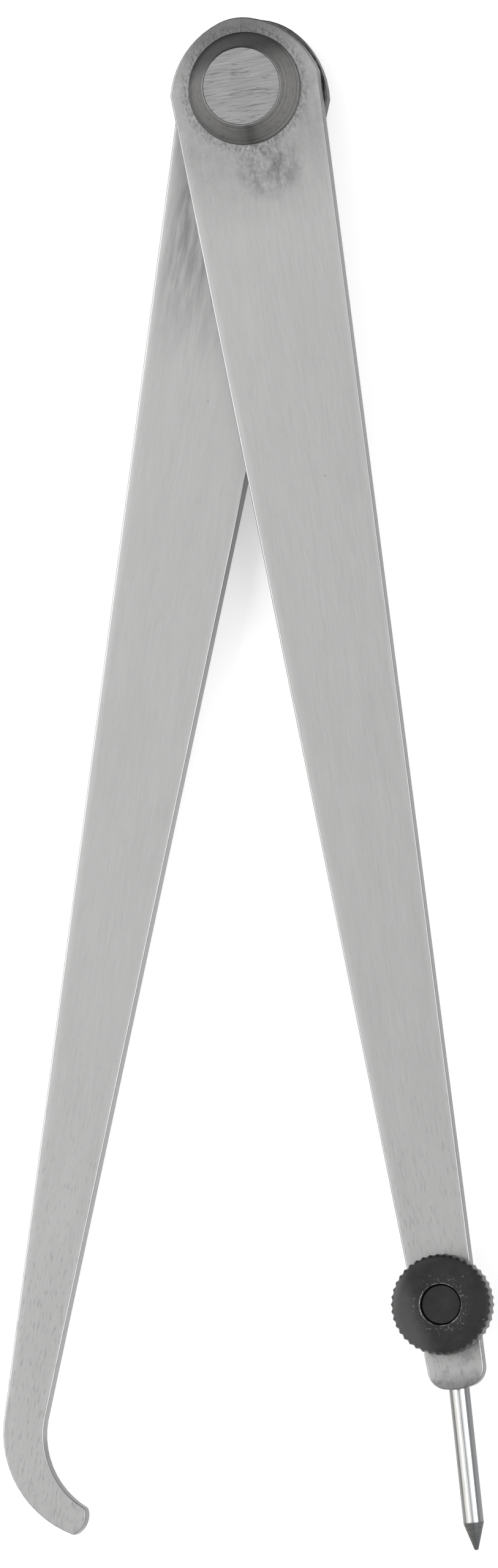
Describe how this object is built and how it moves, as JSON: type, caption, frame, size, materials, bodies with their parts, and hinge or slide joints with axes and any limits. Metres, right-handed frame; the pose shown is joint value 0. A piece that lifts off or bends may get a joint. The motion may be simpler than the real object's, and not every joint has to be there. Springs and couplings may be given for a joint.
{
  "type": "hermaphrodite caliper",
  "caption": "Firm-joint hermaphrodite caliper: a leg with an inward-curved foot and a leg with a scriber held by a knurled nut, riveted together at a bevelled joint.",
  "frame": {"origin": "on the joint's axis, on the flat rear face of the joint rivet, which the caliper lies on", "axes": "+Z out of the front face, along the joint's axis; +Y from the legs towards the joint; +X towards the scriber leg"},
  "size_m": [0.052, 0.1593, 0.0102],
  "materials": {
    "leg_steel": "satin, fine grain along the leg",
    "rivet_steel": "ground flat, brush marks across the face",
    "washer_steel": "dark, with turning marks",
    "fibre": "vulcanised fibre",
    "black_oxide_steel": "black oxide, worn at the edges",
    "scriber_steel": "polished rod with a dull ground point"
  },
  "bodies": {
    "scriber_arm": {"scriber_leg": "leg_steel", "joint_rivet": "rivet_steel", "front_washer": "washer_steel", "rear_washer": "washer_steel", "friction_disc": "fibre"},
    "caliper_arm": {"caliper_leg": "leg_steel"},
    "nut": {"thumb_nut": "black_oxide_steel"},
    "seat": {"clamp_seat": "black_oxide_steel"},
    "clamp_stud": {"eyebolt": "black_oxide_steel"},
    "scriber_point": {"scriber": "scriber_steel"}
  },
  "joints": [
    {"name": "leg_pivot", "type": "hinge", "parent": "scriber_arm", "child": "caliper_arm", "pos_m": [0, 0, 0.0033], "axis": [0, 0, -1], "range_deg": [-13, 330]},
    {"name": "nut_spin", "type": "hinge", "parent": "scriber_arm", "child": "nut", "pos_m": [0.02092, -0.12638, 0.0088], "axis": [0, 0, 1], "range_deg": [0, 360]},
    {"name": "scriber_swivel", "type": "hinge", "parent": "scriber_arm", "child": "seat", "pos_m": [0.02092, -0.12638, 0.0042], "axis": [0, 0, 1], "range_deg": [-8, 8]},
    {"name": "clamp_release", "type": "slide", "parent": "seat", "child": "clamp_stud", "axis": [0, 0, -1], "range_m": [0, 0.00079375]},
    {"name": "scriber_slide", "type": "slide", "parent": "clamp_stud", "child": "scriber_point", "axis": [0.1063, -0.9943, 0], "range_m": [-0.015, 0.012]}
  ],
  "couplings": [
    {"joint": "nut_spin", "follows": "clamp_release", "rad_per_m": 7915.8}
  ]
}
